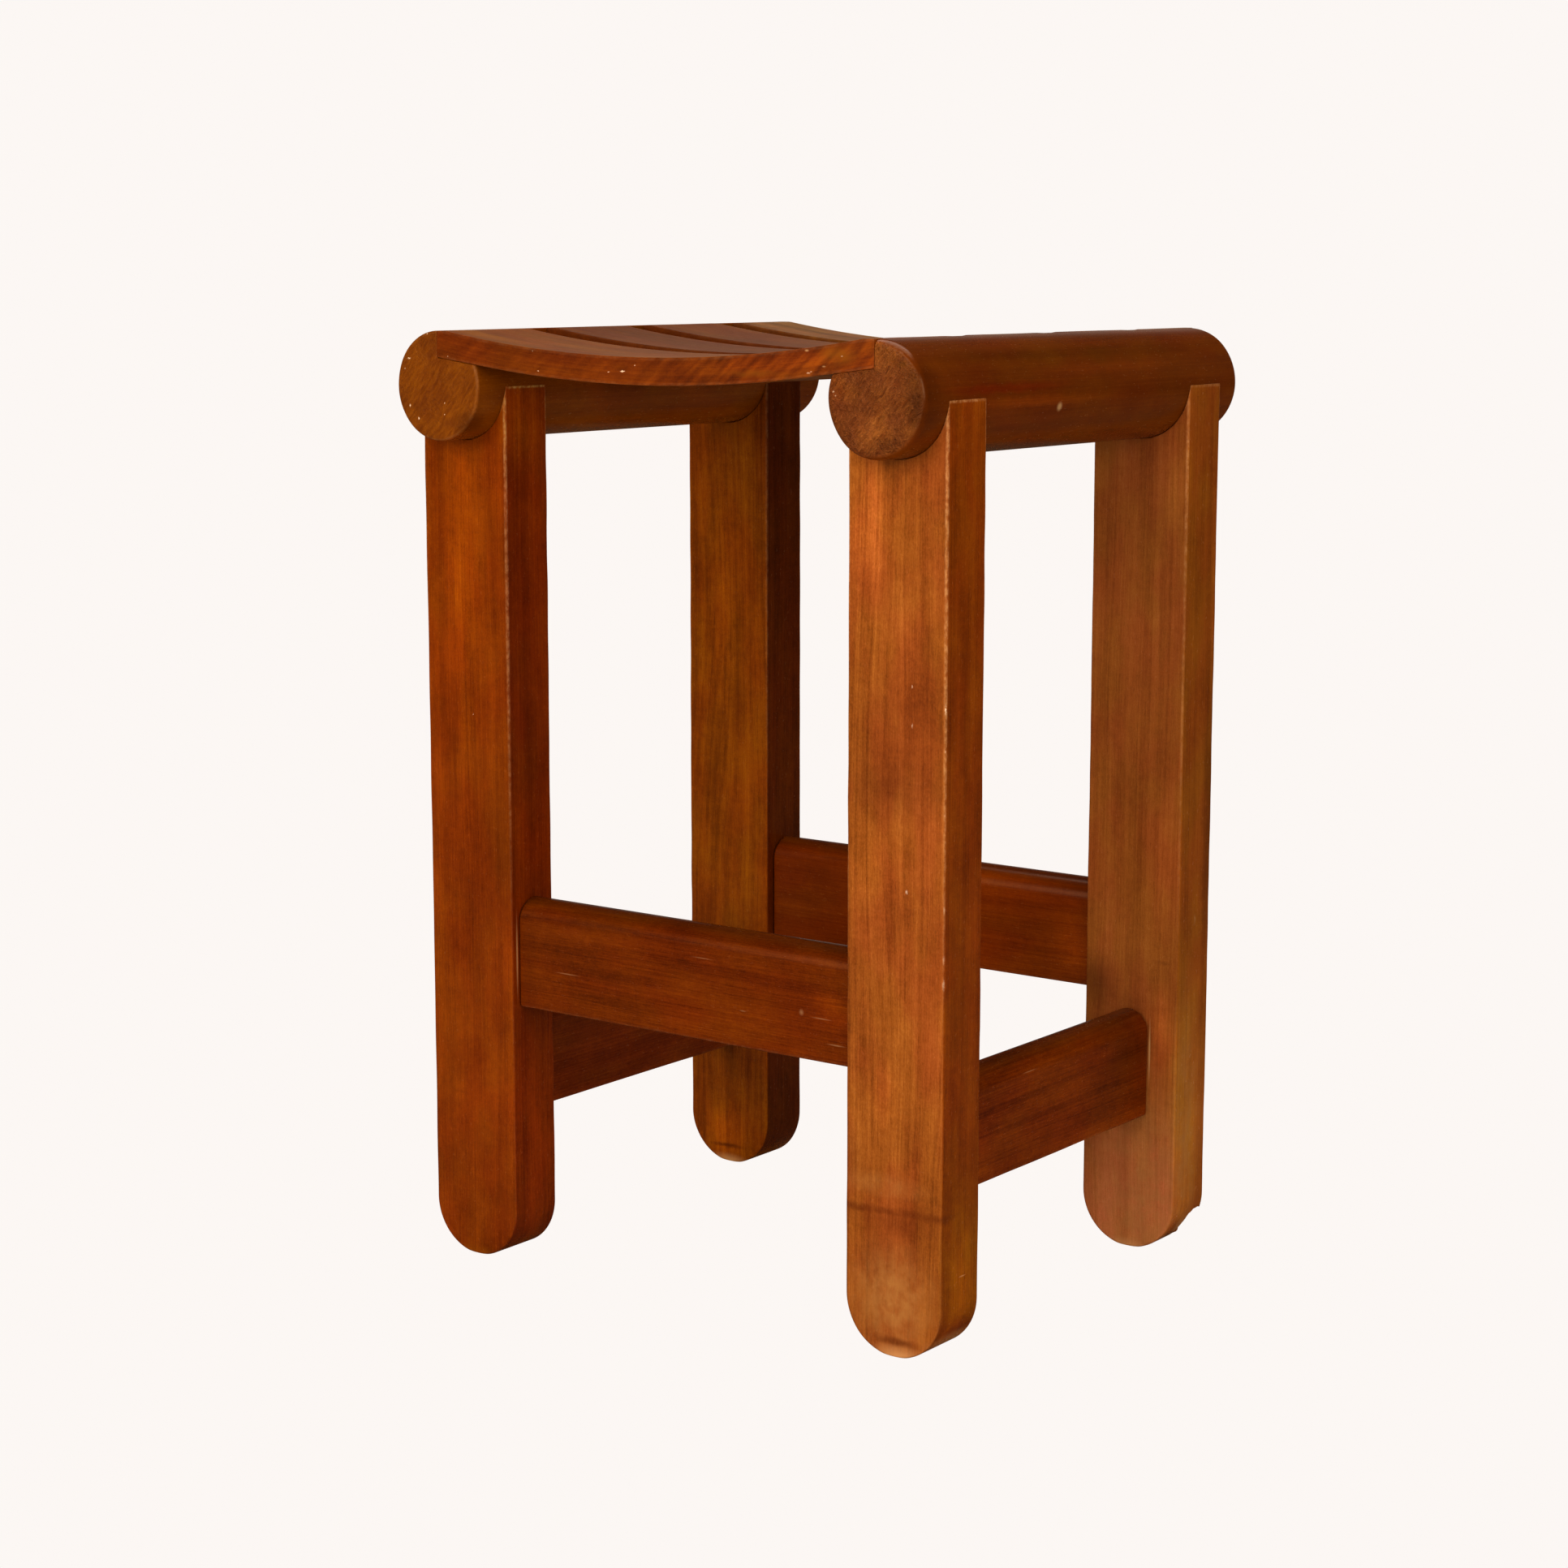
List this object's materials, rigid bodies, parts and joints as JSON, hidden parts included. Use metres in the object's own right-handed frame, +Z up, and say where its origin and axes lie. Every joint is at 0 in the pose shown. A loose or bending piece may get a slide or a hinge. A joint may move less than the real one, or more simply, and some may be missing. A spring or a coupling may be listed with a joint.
{
  "type": "stool",
  "caption": "Tall teak stool: square legs with rounded feet, round bars lying in cradles at the sides, dished seat slats between them, and staggered foot rails.",
  "frame": {"origin": "on the floor, at the middle of the four feet", "axes": "+Z up, +Y from the front rail to the back rail, +X from the left side to the right side"},
  "size_m": [0.435, 0.386, 0.65],
  "materials": {
    "leg_teak": "satin varnish over straight grain",
    "log_teak": "satin varnish, darker, with ringed end grain",
    "slat_teak": "satin varnish, worn greyer on top",
    "rail_teak": "satin varnish, red-brown",
    "dowel_wood": "bare"
  },
  "bodies": {
    "root": {"front_left_leg": "leg_teak", "front_right_leg": "leg_teak", "back_left_leg": "leg_teak", "back_right_leg": "leg_teak", "left_log": "log_teak", "right_log": "log_teak", "seat_slat_1": "slat_teak", "seat_slat_2": "slat_teak", "seat_slat_3": "slat_teak", "seat_slat_4": "slat_teak", "front_rail": "rail_teak", "back_rail": "rail_teak", "left_side_rail": "rail_teak", "right_side_rail": "rail_teak", "leg_dowels": "dowel_wood", "slat_dowels": "dowel_wood"}
  },
  "joints": []
}
